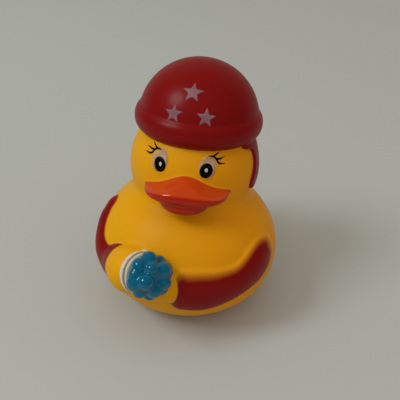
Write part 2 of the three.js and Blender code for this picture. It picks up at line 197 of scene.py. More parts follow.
def skin(x, y, z):
    return soft_min(body(x, y, z), oval(x, y, z, HEAD_CENTRE, HEAD_HALF), NECK_FILLET)


print("body in mm:", 2 * BODY_HALF_WIDTH, "wide,", BODY_FRONT + BODY_BACK, "long")

# %% [markdown]
# Hands and arms lie on the skin, so their places are given as a bearing round the body and
# a height. How far out the skin is there is found by halving: try the middle of the range,
# see whether it is inside, and keep the half that still holds the skin.

# %% Places on the skin
REACH_RANGE = (4.0, 45.0)
HALVINGS = 40
NECK_HEIGHT = 33.8


def skin_reach(bearing, height):
    """How far the skin lies from the axis, found by halving the range it lies in."""
    near, far = REACH_RANGE
    for _ in range(HALVINGS):
        middle = (near + far) / 2
        if skin(middle * math.cos(bearing), middle * math.sin(bearing), height) < 0:
            near = middle
        else:
            far = middle
    return near


def sunk(bearing_degrees, height, depth):
    """A point under the skin. Bearing 0 is the duck's left, -90 its chest."""
    bearing = math.radians(bearing_degrees)
    reach = skin_reach(bearing, height) - depth
    return np.array((reach * math.cos(bearing), reach * math.sin(bearing), height))


print("neck half width:", round(skin_reach(0, NECK_HEIGHT), 1))

# %% [markdown]
# ### Swept forms
#
# Arms and tail are round-ended forms swept along a curve that passes through a few
# stations. A bevelled curve object could be swept too, but it wouldn't melt into the body.
# So the curve is cut into short straight runs, and the distance to a run is easy: find the
# nearest point on it, and take away the radius there.

# %% Swept forms
FAR_AWAY = 1e3
LEAST_SWEPT_SLOPE = 0.3


def curve_through(stations, runs_each):
    """Points x, y, z, radius on a smooth curve through the stations."""
    points = np.array(stations, float)
    padded = np.vstack([2 * points[0] - points[1], points, 2 * points[-1] - points[-2]])
    out = []
    for a, b, c, d in zip(padded, padded[1:], padded[2:], padded[3:]):
        for t in np.linspace(0, 1, runs_each, endpoint=False):
            pull = 2 * a - 5 * b + 4 * c - d + t * (3 * (b - c) + d - a)
            out.append(b + 0.5 * t * (c - a + t * pull))
    out.append(points[-1])
    return np.array(out)


def swept(x, y, z, curve, stretch=1.0):
    """Distance to a swept form whose oval section is stretched upwards.

    The second result is how high on its section a point lies, from -1 to 1."""
    best = np.full(np.broadcast(x, y, z).shape, FAR_AWAY)
    height = np.zeros_like(best)
    for a, b in zip(curve, curve[1:]):
        run = b[:3] - a[:3]
        length = math.sqrt(run @ run)
        ahead = run / length
        rise = np.array((0, 0, 1)) - ahead * ahead[2]
        rise /= math.sqrt(rise @ rise)
        side = np.cross(rise, ahead)
        px, py, pz = x - a[0], y - a[1], z - a[2]
        forth = px * ahead[0] + py * ahead[1] + pz * ahead[2]
        along = np.clip(forth / length, 0, 1)
        past = (forth - along * length) / min(stretch, 1)
        up = (px * rise[0] + py * rise[1] + pz * rise[2]) / stretch
        off = px * side[0] + py * side[1] + pz * side[2]
        radius = a[3] + (b[3] - a[3]) * along
        reach = np.sqrt(off * off + up * up + past * past)
        slope = np.sqrt(off * off + (up / stretch) ** 2 + past * past)
        slope = slope / np.maximum(reach, LEAST_SLOPE)
        distance = (reach - radius) / np.maximum(slope, LEAST_SWEPT_SLOPE)
        closer = distance < best
        best = np.where(closer, distance, best)
        height = np.where(closer, up / radius, height)
    return best, height


print("points between two stations:", len(curve_through([(0, 0, 0, 1), (1, 0, 0, 1)], 5)))

# %% [markdown]
# ### Arms, fist and palm
#
# Both arms lie against the body. The left one crosses the belly, and its palm reaches for
# the hose. The right one bends forwards into a fist that holds it. Each row below is one
# station: its bearing in degrees, its rise above the forearm, how far it stands proud of
# the skin, and its radius. Stations on the skin keep the arms on the body if it changes.

# %% Left arm
FOREARM = BELT + 1.5
SLEEVE_STRETCH = 1.6
CUFF_BEARING = -83
CUFF_EDGE = 0.6
CUFF_SLANT = 0.22
CUFF_ROUNDING = 0.5
RUNS_LEFT = 5


def station(bearing, rise, proud, radius):
    return (*sunk(bearing, FOREARM + rise, radius - proud), radius)


LEFT_ARM = curve_through([
    station(-15, 2.8, 0.5, 3.3),
    station(-24, 2.4, 1.1, 4.1),
    station(-34, 1.4, 1.5, 4.0),
    station(-46, 0.2, 1.6, 3.5),
    station(-58, -0.6, 1.7, 3.9),
    station(-71, -1.2, 1.7, 4.5),
    station(CUFF_BEARING, -1.1, 1.7, 4.4),
], RUNS_LEFT)


def left_arm(x, y, z):
    """The left arm's distance with its cuff cut, and how high on its section a point lies."""
    arm, height = swept(x, y, z, LEFT_ARM, SLEEVE_STRETCH)
    cuff = CUFF_EDGE + CUFF_SLANT * (z - FOREARM) - x
    return soft_max(arm, cuff, CUFF_ROUNDING), height


print("left cuff at", LEFT_ARM[-1][:3].round(1))

# %% [markdown]
# The right arm ends at the wrist, a little way from the fist's middle to the elbow, so that
# the sleeve runs into the fist. The fist is a ball, and the palm an egg.

# %% Right arm and hands
SHOULDER_RADIUS = 4.4
SLEEVE_RADIUS = 5.1
CUFF_RADIUS = 5.7
FIST_RADIUS = 6.4
FIST_BEARING = -117
FIST_RISE = 2.6
FIST_PROUD = 0.4
PALM_BEARING = CUFF_BEARING - 11
PALM_SINK = 0.6
PALM_HALF = (4.6, 3.4, 4.8)
ELBOW_BEARING = -141
ELBOW_PROUD = 2.2
WRIST_SHARE = 0.45
RUNS_RIGHT = 6

FIST = sunk(FIST_BEARING, FOREARM + FIST_RISE, -FIST_PROUD)
PALM = sunk(PALM_BEARING, FOREARM, PALM_SINK)
elbow = np.array(station(ELBOW_BEARING, 0, ELBOW_PROUD, SLEEVE_RADIUS)[:3])
wrist = FIST + WRIST_SHARE * (elbow - FIST)
RIGHT_ARM = curve_through([
    station(-172, 7.6, 0.5, SHOULDER_RADIUS),
    station(-165, 4.2, 1.0, SLEEVE_RADIUS + 0.3),
    station(-153, 0.2, 1.6, SLEEVE_RADIUS + 0.9),
    station(-138, -0.6, 2.2, SLEEVE_RADIUS + 0.7),
    (*wrist, CUFF_RADIUS),
], RUNS_RIGHT)


def right_arm(x, y, z):
    return swept(x, y, z, RIGHT_ARM)[0]


print("fist at", FIST.round(1))

# %% [markdown]
# ### Tail
#
# The tail is a broad flat tip that turns up. It is swept like the arms, with a section that
# is wider than it is thick. Each row gives how far along and how far up the tail a station
# lies, and its half width, as shares of the whole.

# %% Tail
TAIL_ROOT = 18
TAIL_LENGTH = 15
TAIL_RISE = 12
TAIL_HALF_WIDTH = 11
TAIL_FLATNESS = 0.68
RUNS_TAIL = 5


def tail_station(along, up, share):
    return (0, TAIL_ROOT + along * TAIL_LENGTH, BELT + up * TAIL_RISE, share * TAIL_HALF_WIDTH)


TAIL = curve_through([
    tail_station(0, 0, 1),
    tail_station(0.45, 0.25, 0.9),
    tail_station(0.8, 0.62, 0.62),
    tail_station(1, 1, 0.32),
], RUNS_TAIL)


def tail(x, y, z):
    return swept(x, y, z, TAIL, TAIL_FLATNESS)[0]


print("tail's last station:", TAIL[-1].round(1))

# %% [markdown]
# ### Helmet
#
# The helmet is a dome that rises from inside a rolled brim, tipped back a little. It could
# be lathed with the screw modifier. As a formula it is as easy, because a round thing only
# needs its radius and height, and the crease between dome and brim is one more soft join.

# %% Helmet
HELMET_OFFSET = 0.5
HELMET_SET_BACK = HEAD_SET_BACK + 3
HELMET_HEIGHT = HEAD_HEIGHT + 12.7
HELMET_CENTRE = np.array((HELMET_OFFSET, HELMET_SET_BACK, HELMET_HEIGHT))
BRIM_RADIUS = 17.8
BRIM_HEIGHT = 7
BRIM_THICKNESS = 2.4
DOME_RADIUS = 16.7
DOME_RISE = 16.2
DOME_FOOT_FILLET = 0.2
CREASE_FILLET = 0.35
HELMET_DEPTH_RATIO = 1.03
HELMET_TIP_BACK = math.radians(-6)
HELMET_LEAN = math.radians(1.5)
HELMET_TURN = np.array(
    Matrix.Rotation(HELMET_TIP_BACK, 3, "X") @ Matrix.Rotation(HELMET_LEAN, 3, "Y"))


def helmet_place(x, y, z):
    """A point seen from the helmet: x, y and z from the middle of its brim."""
    px, py, pz = x - HELMET_CENTRE[0], y - HELMET_CENTRE[1], z - HELMET_CENTRE[2]
    columns = HELMET_TURN.T
    return [row[0] * px + row[1] * py + row[2] * pz for row in columns]


def helmet(x, y, z):
    hx, hy, hz = helmet_place(x, y, z)
    hy = hy / HELMET_DEPTH_RATIO
    dome = oval(hx, hy, hz, (0, 0, 0), (DOME_RADIUS, DOME_RADIUS, DOME_RISE))
    dome = soft_max(dome, -hz, DOME_FOOT_FILLET)
    radius = np.sqrt(hx * hx + hy * hy)
    middle = BRIM_RADIUS - BRIM_THICKNESS
    roll = oval(radius, 0, hz, (middle, 0, 0), (BRIM_THICKNESS, 1, BRIM_HEIGHT / 2))
    disc = np.maximum(radius - middle, np.abs(hz) - BRIM_HEIGHT / 2)
    return soft_min(dome, np.minimum(roll, disc), CREASE_FILLET)


print("helmet's top in mm:", round(float(HELMET_CENTRE[2]) + DOME_RISE, 1))

# %% [markdown]
# ### Chin strap
#
# The strap is a low band on each side of the head. The mould has it in the head's own skin,
# so here it is that skin, raised by 0.8 mm inside the strap's outline. The outline widens
# to a gusset under the brim. The strap on the duck's right sits further back, since it
# can't be seen past the cheek.

# %% Chin strap
STRAP_RELIEF = 0.8
STRAP_WIDTH = 5.4
STRAP_FOOT = HEAD_HEIGHT - 1.1
STRAP_FORWARD = 3.8
STRAP_SET_BACK = 5
STRAP_TILT = math.radians(28)
STRAP_EDGE_ROUNDING = 0.4
STRAP_END_ROUNDING = 0.5
STRAP_OFF_MIDDLE = 9
GUSSET_DROP = 0.8
GUSSET_HEIGHT = 4.6
GUSSET_REACH = 4.5
GUSSET_STAND = 0.3


def strap(x, y, z):
    """The band leans: its foot is nearer the chin than its top."""
    back = y - HEAD_SET_BACK - np.where(x > 0, -STRAP_FORWARD, STRAP_SET_BACK)
    up = z - STRAP_FOOT
    along = back * math.sin(STRAP_TILT) + up * math.cos(STRAP_TILT)
    across = back * math.cos(STRAP_TILT) - up * math.sin(STRAP_TILT)
    below_brim = -helmet_place(x, y, z)[2] - BRIM_HEIGHT / 2
    share = np.clip(1 - (below_brim - GUSSET_DROP) / GUSSET_HEIGHT, 0, 1)
    flare = GUSSET_REACH * (1 - np.sqrt(1 - share)) ** 2
    band = np.sqrt(across ** 2 + np.minimum(along, 0) ** 2) - STRAP_WIDTH / 2 - flare
    band = np.maximum(band, z - HELMET_CENTRE[2])
    raised = skin(x, y, z) - STRAP_RELIEF - GUSSET_STAND * share ** 2
    raised = soft_max(raised, band, STRAP_EDGE_ROUNDING)
    return soft_max(raised, STRAP_OFF_MIDDLE - np.abs(x), STRAP_END_ROUNDING)


print("strap's foot in mm:", round(STRAP_FOOT - STRAP_WIDTH / 2, 1))

# %% [markdown]
# ### Beak
#
# The upper bill has oval sections from the face to a blunt tip. Its lip is even, and its
# middle rises to a bridge between the eyes. It could be lofted through drawn sections, but
# the sections all follow one rule, so the rule itself is used. A formula that is zero on
# the surface becomes nearly a distance when it is divided by its own slope.

# %% Upper bill
FACE_OFFSET = 0.7
BILL_HALF_SPAN = 11.3
BILL_TIP = HEAD_SET_BACK - 23.9
BILL_ROOT = HEAD_SET_BACK - math.sqrt(HEAD_HALF[1] ** 2 - BILL_HALF_SPAN ** 2)
BILL_HEIGHT = HEAD_HEIGHT - 0.4
BILL_LIP_ABOVE = 1.9
BILL_LIP_BELOW = 1.1
BILL_BLUNTNESS = 2.4
BILL_THINNING = 16
BILL_TIP_LIFT = 1.2
BILL_TIP_SQUARENESS = 1.2
BILL_END = 0.9995
BILL_INSIDE = 4
BRIDGE_HALF_WIDTH = 6
BRIDGE_RISE = 3.6


def bill_level(x, y, z):
    along = np.clip((BILL_ROOT - y) / (BILL_ROOT - BILL_TIP), 0, BILL_END)
    span = BILL_HALF_SPAN * (1 - along ** BILL_BLUNTNESS) ** (1 / BILL_BLUNTNESS)
    thinning = np.sqrt(1 - along ** BILL_THINNING)
    side = x - FACE_OFFSET
    bridge = BRIDGE_RISE * (1 - along ** 2) * np.exp(-((side / BRIDGE_HALF_WIDTH) ** 2))
    up = z - BILL_HEIGHT - BILL_TIP_LIFT * along ** 3
    above, below = BILL_LIP_ABOVE * thinning + bridge, BILL_LIP_BELOW * thinning
    thickness = np.where(up > 0, above, below)
    squareness = 2 + BILL_TIP_SQUARENESS * along ** 2
    reach = np.abs(side / span) ** squareness + np.abs(up / thickness) ** squareness
    return reach ** (1 / squareness) - 1


print("bill from", round(BILL_ROOT, 1), "to", round(BILL_TIP, 1))

# %% [markdown]
# The slope is measured by three small steps. Past the bill's ends the rule means nothing,
# so there the distance to its box is used instead. The lower bill is a plain egg, and most
# of it hides under the upper one.

# %% Both bills as distances
PROBE = 0.05
BILL_LEAST_SLOPE = 0.04
LOWER_BILL_SET_BACK = 5.6
LOWER_BILL_DROP = 1.6
LOWER_BILL = (FACE_OFFSET, BILL_TIP + LOWER_BILL_SET_BACK, BILL_HEIGHT - LOWER_BILL_DROP)
LOWER_BILL_HALF = (6.5, 5.1, 2.9)


def upper_bill(x, y, z):
    level = bill_level(x, y, z)
    slope_x = (bill_level(x + PROBE, y, z) - level) / PROBE
    slope_y = (bill_level(x, y + PROBE, z) - level) / PROBE
    slope_z = (bill_level(x, y, z + PROBE) - level) / PROBE
    slope = np.sqrt(slope_x ** 2 + slope_y ** 2 + slope_z ** 2)
    distance = level / np.maximum(slope, BILL_LEAST_SLOPE)
    above = np.abs(z - BILL_HEIGHT) - BILL_LIP_ABOVE - BRIDGE_RISE
    beside = np.maximum(np.abs(x - FACE_OFFSET) - BILL_HALF_SPAN, above)
    before = np.maximum(y - BILL_ROOT - BILL_INSIDE, BILL_TIP - y)
    return np.maximum(distance, np.maximum(beside, before))


def lower_bill(x, y, z):
    return oval(x, y, z, LOWER_BILL, LOWER_BILL_HALF)


print("lower bill reaches", LOWER_BILL_DROP + LOWER_BILL_HALF[2], "mm down")

# %% [markdown]
# ### Hose end and water
#
# The fist holds a short collar with a groove near its mouth. All of it is round about the
# hose, so it is measured along the hose: a point is turned until the hose points up.

# %% Collar
HOSE = Vector((0.71, -0.61, 0.35)).normalized()
HOSE_TURN = np.array(Vector((0, 0, 1)).rotation_difference(HOSE).to_matrix())
COLLAR_RADIUS = 5.8
COLLAR_START = 3.4
COLLAR_LENGTH = 3
COLLAR_ROUNDING = 0.8
GROOVE_AT = COLLAR_START + COLLAR_LENGTH * 0.68
GROOVE_DEPTH = 0.4
GROOVE_ROUNDING = 0.25


def hose_place(x, y, z):
    px, py, pz = x - FIST[0], y - FIST[1], z - FIST[2]
    return [column[0] * px + column[1] * py + column[2] * pz for column in HOSE_TURN.T]


def groove(x, y, z):
    """A round groove that runs about the collar."""
    hx, hy, hz = hose_place(x, y, z)
    radius = np.sqrt(hx * hx + hy * hy)
    return np.sqrt((radius - COLLAR_RADIUS) ** 2 + (hz - GROOVE_AT) ** 2) - GROOVE_DEPTH


def collar(x, y, z):
    hx, hy, hz = hose_place(x, y, z)
    radius = np.sqrt(hx * hx + hy * hy)
    middle = COLLAR_START + COLLAR_LENGTH / 2
    ends = np.abs(hz - middle) - COLLAR_LENGTH / 2
    barrel = soft_max(radius - COLLAR_RADIUS, ends, COLLAR_ROUNDING)
    return soft_max(barrel, -groove(x, y, z), GROOVE_ROUNDING)


print("hose points to", [round(part, 2) for part in HOSE])

# %% [markdown]
# Water bursts out of the collar as a round mass of knobs, like a berry. Each knob is a ball
# on a common core. They could be scattered by chance, but two rings of knobs, each turned
# and sized a little unevenly by a sine, look just as loose and come out the same each run.

# %% Water
WATER_START = COLLAR_START + COLLAR_LENGTH + 1.6
WATER_RADIUS = 5.2
WATER_CORE = 4.3
KNOB_RADIUS = 2
KNOB_COUNT = 10
KNOB_VARIATION = 0.14
KNOB_FILLET = 0.75
SIZE_PHASE = 2.3
TURN_JITTER = 0.12
TURN_PHASE = 5.1
# Each ring: its knobs, its radius, how far forward it stands and where its first knob is.
KNOB_RINGS = (
    (KNOB_COUNT, WATER_RADIUS - 0.7, 1.0, 0.3),
    (KNOB_COUNT // 2, WATER_RADIUS * 0.56, WATER_RADIUS - 1.7, 0.1),
)


def water_knobs():
    """Each knob's middle and size, seen along the hose."""
    knobs = []
    for knob_count, radius, rise, start in KNOB_RINGS:
        for number in range(knob_count):
            turn = start + number / knob_count * 2 * math.pi
            turn += TURN_JITTER * math.sin(TURN_PHASE * number)
            size = KNOB_RADIUS * (1 + KNOB_VARIATION * math.sin(SIZE_PHASE * number))
            forward = WATER_START + rise
            knobs.append((radius * math.cos(turn), radius * math.sin(turn), forward, size))
    return knobs


KNOBS = water_knobs()


def water(x, y, z):
    hx, hy, hz = hose_place(x, y, z)
    shape = np.sqrt(hx * hx + hy * hy + (hz - WATER_START) ** 2) - WATER_CORE
    for kx, ky, kz, size in KNOBS:
        knob = np.sqrt((hx - kx) ** 2 + (hy - ky) ** 2 + (hz - kz) ** 2) - size
        shape = soft_min(shape, knob, KNOB_FILLET)
    return shape


print("knobs of water:", len(KNOBS))

# %% [markdown]
# ### Eye bosses
#
# Each eye is printed on a flat oval that stands a tenth of a millimetre proud. It is made
# like the strap, from the skin raised inside an outline. The eyes lean to the duck's left.

# %% Eye bosses
EYE_OFFSET = -0.2
EYE_SPACING = 13
EYE_HEIGHT = HEAD_HEIGHT + 7.2
EYE_HALF = (2.2, 3.6)
EYE_RELIEF = 0.12
EYE_LEAN = math.radians(12)
EYE_EDGE_ROUNDING = 0.3
EYE_FRONT_ROUNDING = 0.4


def eye_place(x, z, side):
    """A point seen from the middle of an eye."""
    across, up = x - EYE_OFFSET - side * EYE_SPACING / 2, z - EYE_HEIGHT
    cos, sin = math.cos(EYE_LEAN), math.sin(EYE_LEAN)
    return across * cos - up * sin, across * sin + up * cos


def eye_boss(x, y, z, side):
    across, up = eye_place(x, z, side)
    reach = np.sqrt((across / EYE_HALF[0]) ** 2 + (up / EYE_HALF[1]) ** 2)
    outline = (reach - 1) * EYE_HALF[0]
    raised = soft_max(skin(x, y, z) - EYE_RELIEF, outline, EYE_EDGE_ROUNDING)
    return soft_max(raised, y, EYE_FRONT_ROUNDING)


print("eyes at height", round(EYE_HEIGHT, 1))

# %% [markdown]
# ### The whole moulding
#
# Now the forms are joined, each with the fillet that the mould has there. The flat base
# and the squeaker's seat are cut last. The seat leaves the squeaker free all round.

# %% The whole moulding
TAIL_FILLET = 1.2
BILL_FILLET = 0.8
STRAP_FILLET = 0.4
HELMET_FILLET = 0.5
ARM_FILLET = 0.8
PALM_FILLET = 1.5
FIST_FILLET = 1.8
HOSE_FILLET = 0.3
BASE_ROUNDING = 0.6
SEAT_RADIUS = 8.3
SEAT_DEPTH = 1.5
HOLE_RADIUS = 6.5
HOLE_DEPTH = 10


def duck(x, y, z):
    shape = soft_min(skin(x, y, z), tail(x, y, z), TAIL_FILLET)
    for side in (-1, 1):
        shape = np.minimum(shape, eye_boss(x, y, z, side))
    shape = soft_min(shape, upper_bill(x, y, z), BILL_FILLET)
    shape = soft_min(shape, lower_bill(x, y, z), BILL_FILLET)
    shape = soft_min(shape, strap(x, y, z), STRAP_FILLET)
    shape = soft_min(shape, helmet(x, y, z), HELMET_FILLET)
    shape = soft_min(shape, left_arm(x, y, z)[0], ARM_FILLET)
    shape = soft_min(shape, right_arm(x, y, z), ARM_FILLET)
    shape = soft_min(shape, oval(x, y, z, PALM, PALM_HALF), PALM_FILLET)
    shape = soft_min(shape, oval(x, y, z, FIST, (FIST_RADIUS,) * 3), FIST_FILLET)
    shape = soft_min(shape, collar(x, y, z), HOSE_FILLET)
    shape = soft_min(shape, water(x, y, z), HOSE_FILLET)
    shape = soft_max(shape, -z, BASE_ROUNDING)
    radius = np.sqrt(x * x + y * y)
    seat = np.maximum(radius - SEAT_RADIUS, z - SEAT_DEPTH)
    hole = np.maximum(radius - HOLE_RADIUS, z - HOLE_DEPTH)
    return np.maximum(shape, -np.minimum(seat, hole))


in_front = float(duck(FACE_OFFSET, BILL_TIP - 5, BILL_HEIGHT))
print("5 mm in front of the bill the field says", round(in_front, 1))

# %% [markdown]
# ## From distances to a mesh
#
# Space is cut into small cubes. Where some corners of a cube are inside the duck and some
# outside, the skin passes through it. Most of space is far from the skin, so the distances
# are worked out block by block, and a block whose middle is far away is skipped.
#
# Metaballs would mesh themselves, but they only know balls and capsules. With the distances
# in hand, any form that has a formula can join in.

# %% Sampling the field
CELL = 0.36
BLOCK = 16
MARGIN = 2
FIELD_SLACK = 1.6


def sample_field(low, high):
    counts = [int(math.ceil((b - a) / CELL / BLOCK)) * BLOCK for a, b in zip(low, high)]
    axes = [a + CELL * np.arange(n) for a, n in zip(low, counts)]
    field = np.empty(counts, np.float32)
    far = CELL * BLOCK * math.sqrt(3) / 2 * FIELD_SLACK
    for i in range(0, counts[0], BLOCK):
        for j in range(0, counts[1], BLOCK):
            for k in range(0, counts[2], BLOCK):
                block = (slice(i, i + BLOCK), slice(j, j + BLOCK), slice(k, k + BLOCK))
                xs, ys, zs = (axis[part] for axis, part in zip(axes, block))
                middle = float(duck(xs.mean(), ys.mean(), zs.mean()))
                if abs(middle) > far:
                    field[block] = middle
                else:
                    field[block] = duck(xs[:, None, None], ys[None, :, None], zs[None, None, :])
    return field, axes


field_low = [(a - c) / MM - MARGIN for a, c in zip(cad_low, AXIS)]
field_high = [(b - c) / MM + MARGIN for b, c in zip(cad_high, AXIS)]
field, axes = sample_field(field_low, field_high)
print("corners sampled:", field.size)

# %% [markdown]
# Each cube that the skin passes through gets one point, in the middle of where its edges
# cross the skin. This is called a surface net. Marching cubes is the better known way, but
# it leaves thin slivers, while a net gives even quads that shade well.

# %% Points of the net


def net_points(field, axes):
    """The points, and for each cube the number of its point or -1."""
    inside = field < 0
    cells = tuple(n - 1 for n in field.shape)
    total = np.zeros((*cells, 3), np.float32)
    crossings = np.zeros(cells, np.float32)
    corner = [slice(0, -1), slice(1, None)]
    for axis in range(3):
        others = [a for a in range(3) if a != axis]
        for u in (0, 1):
            for v in (0, 1):
                start = [None] * 3
                start[axis] = corner[0]
                start[others[0]] = corner[u]
                start[others[1]] = corner[v]
                end = list(start)
                end[axis] = corner[1]
                a, b = field[tuple(start)], field[tuple(end)]
                crossed = inside[tuple(start)] != inside[tuple(end)]
                share = np.where(crossed, a / np.where(crossed, a - b, 1), 0)
                total[..., axis] += share
                total[..., others[0]] += u * crossed
                total[..., others[1]] += v * crossed
                crossings += crossed
    active = crossings > 0
    where = np.argwhere(active)
    offset = total[active] / crossings[active][:, None]
    origin = np.array([axis[0] for axis in axes])
    number = np.full(cells, -1, np.int64)
    number[active] = np.arange(len(where))
    return origin + CELL * (where + offset), number


points, number_of_cell = net_points(field, axes)
print("points of the net:", len(points))

# %% [markdown]
# Four cubes share each edge. Where an edge crosses the skin, their four points make a face,
# wound so that its front looks out of the duck.

# %% Faces of the net


def net_faces(field, number):
    inside = field < 0
    faces = []
    for axis in range(3):
        u, v = [(1, 2), (2, 0), (0, 1)][axis]
        near = [slice(1, -1)] * 3
        near[axis] = slice(0, -1)
        far = list(near)
        far[axis] = slice(1, None)
        here = inside[tuple(near)]
        crossed = here != inside[tuple(far)]
        spots = np.argwhere(crossed)
        spots[:, u] += 1
        spots[:, v] += 1
        ring = []
        for du, dv in ((-1, -1), (0, -1), (0, 0), (-1, 0)):
            cell = spots.copy()
            cell[:, u] += du
            cell[:, v] += dv
            ring.append(number[tuple(cell.T)])
        quad = np.stack(ring, 1)
        leaving = here[crossed]
        faces.append(np.where(leaving[:, None], quad, quad[:, ::-1]))
    return np.vstack(faces)


faces = net_faces(field, number_of_cell)
print("faces of the net:", len(faces))

# %% [markdown]
# After that each point slides along the slope of the field onto the true surface, which
# takes away the last small steps that would show in a reflection. A push is never longer
# than a third of a cube, so that no point passes another.

# %% Settling the points
SETTLE_ROUNDS = 2
SETTLE_PROBE = 0.02
FLATTEST_FIELD = 0.05
CHECK_EVERY = 100


def settle(points):
    for _ in range(SETTLE_ROUNDS):
        x, y, z = points.T
        here = duck(x, y, z)
        slope = np.stack([
            duck(x + SETTLE_PROBE, y, z) - here,
            duck(x, y + SETTLE_PROBE, z) - here,
            duck(x, y, z + SETTLE_PROBE) - here,
        ], 1) / SETTLE_PROBE
        length = np.maximum((slope ** 2).sum(1), FLATTEST_FIELD)
        push = np.clip(here / length, -CELL / 3, CELL / 3)
        points = points - slope * push[:, None]
    return points


points = settle(points)
left_over = np.abs(duck(*points[::CHECK_EVERY].T)).mean()
print("left over, in mm:", round(float(left_over), 4))

# %% [markdown]
# The net is finer than the round parts need. Blender's decimate modifier takes points away
# where the skin is smooth and keeps them at creases and knobs. The new mesh stands for the
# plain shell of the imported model.

# %% The mesh
TRIANGLE_LIMIT = 190000


def new_object(name, points, faces):
    """An object from points in millimetres and lists of point numbers."""
    mesh = bpy.data.meshes.new(name)
    mesh.from_pydata((np.asarray(points) * MM + np.array(AXIS)).tolist(), [], faces)
    mesh.update()
    made = bpy.data.objects.new(name, mesh)
    bpy.context.scene.collection.objects.link(made)
    return made


def apply_modifiers(piece):
    graph = bpy.context.evaluated_depsgraph_get()
    mesh = bpy.data.meshes.new_from_object(piece.evaluated_get(graph))
    piece.modifiers.clear()
    piece.data = mesh
    mesh.name = piece.name


moulding = new_object("duck_moulding", points, faces.tolist())
if 2 * len(faces) > TRIANGLE_LIMIT:
    thin = moulding.modifiers.new("thin", "DECIMATE")
    thin.ratio = TRIANGLE_LIMIT / (2 * len(faces))
    apply_modifiers(moulding)
moulding.data.shade_smooth()
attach(moulding, "root")
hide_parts("duck_shell")
triangles = sum(len(polygon.vertices) - 2 for polygon in moulding.data.polygons)
print("triangles in the moulding:", triangles)

# %% [markdown]
# ## Paint
#
# Each sprayed area has an edge. The mesh remembers, at each point, how far it lies outside
# each area, in millimetres, and the material turns that into paint. So an edge stays crisp
# between points, and a soft one is just a wider step. A painted texture would need the skin
# unwrapped, and its edges would be no finer than its pixels.
#
# A metal mask follows the creases of the toy, so an area is wherever one form stands
# outside its neighbours.

# %% Paint areas
CUFF_OF_FIST = 7.0
MASK_GAP = 0.2
NEAR = 0.7
GROOVE_BROWN_INSIDE = 0.12


def area(form, *others):
    """How far a point lies outside a form's own area."""
    beyond = form - np.minimum.reduce(others)
    return np.maximum(beyond, form - NEAR)


def paint_areas(x, y, z):
    head = skin(x, y, z)
    left = left_arm(x, y, z)[0]
    right = right_arm(x, y, z)
    palm = oval(x, y, z, PALM, PALM_HALF)
    fist_reach = np.sqrt((x - FIST[0]) ** 2 + (y - FIST[1]) ** 2 + (z - FIST[2]) ** 2)
    hose = collar(x, y, z)
    flow = water(x, y, z)
    hand = np.minimum(fist_reach - FIST_RADIUS, palm)
    crown = np.minimum(helmet(x, y, z), strap(x, y, z))
    upper = upper_bill(x, y, z)
    lower = lower_bill(x, y, z)
    left_area = area(left, head, hand, hose, flow)
    right_area = area(right, head, hose, flow) + MASK_GAP
    right_area = np.maximum(right_area, CUFF_OF_FIST - fist_reach)
    return {
        "red": np.minimum(area(crown, head, upper), np.minimum(left_area, right_area)),
        "red_fade": sleeve_fade(x, y, z),
        "orange": area(upper, head, lower),
        "lower_orange": area(lower, head, upper),
        "white": area(hose, head, hand, flow),
        "blue": area(flow, head, hand, hose),
        # A darker brown is painted along the bottom of the collar's groove.
        "grime": groove(x, y, z) - GROOVE_BROWN_INSIDE,
    }


print("areas follow the creases, and reach", NEAR, "mm from their form")

# %% [markdown]
# The left sleeve is sprayed without a mask along its top. The red drifts off there, over
# about a millimetre of height, and again where the sleeve runs out at the shoulder. Only
# the arm's upper half fades, so its lower edge stays crisp.

# %% Drift of the spray
SPRAY_FADE = (0.3, 1.3)
SHOULDER_FADE = (-22, -14)
UPPER_HALF = (0, 0.3)
ARM_NEAR = 1


def share_between(value, start, end):
    return np.clip((value - start) / (end - start), 0, 1)


def sleeve_fade(x, y, z):
    """How much of the red is gone, from 0 to 1."""
    left, height = left_arm(x, y, z)
    proud = skin(x, y, z) - left
    fade = (1 - share_between(proud, *SPRAY_FADE)) * share_between(height, *UPPER_HALF)
    shoulder = np.degrees(np.arctan2(y, x))
    fade = np.maximum(fade, share_between(shoulder, *SHOULDER_FADE))
    return np.where(left < ARM_NEAR, fade, 0)


count = len(moulding.data.vertices)
flat = np.empty(count * 3)
moulding.data.vertices.foreach_get("co", flat)
place = (flat.reshape(-1, 3) - np.array(AXIS)) / MM
areas = paint_areas(*place.T)
for name, values in areas.items():
    attribute = moulding.data.attributes.new(name, "FLOAT", "POINT")
    attribute.data.foreach_set("value", values.astype(np.float32))
    print(name, "covers", int((values < 0).sum()), "of", count, "points")

# %% [markdown]
# ## Materials
#
# Colours are written as they look on a screen, in sRGB, and turned to the linear values
# that light is reckoned in. One small function adds a node with its settings and inputs.
# A noise repeats so many times to the metre, so its scale is worked out from the size of
# one patch in millimetres.

# %% Colour and node helpers


def linear(hex_colour):
    """The standard sRGB curve: a straight toe, then a power."""
    parts = [int(hex_colour[i:i + 2], 16) / 255 for i in (1, 3, 5)]
    return (*[c / 12.92 if c <= 0.04045 else ((c + 0.055) / 1.055) ** 2.4 for c in parts], 1)


def patches_per_metre(patch_mm):
    return 1 / (patch_mm * MM)


def add_node(tree, kind, inputs=None, **settings):
    """Add a node. Each input is a value, or the output that it is joined to."""
    node = tree.nodes.new(kind)
    for key, value in settings.items():
        setattr(node, key, value)
    for key, value in (inputs or {}).items():
        if isinstance(value, bpy.types.NodeSocket):
            tree.links.new(value, node.inputs[key])
        else:
            node.inputs[key].default_value = value
    return node


def blank_material(name):
    material = bpy.data.materials.new(name)
    material.use_nodes = True
    material.node_tree.nodes.clear()
    return material, material.node_tree


def finish_surface(tree, inputs):
    """Every material here ends in one shader."""
    shader = add_node(tree, "ShaderNodeBsdfPrincipled", inputs)
    add_node(tree, "ShaderNodeOutputMaterial", {"Surface": shader.outputs["BSDF"]})


print("middle grey in linear light:", round(linear("#808080")[0], 3))
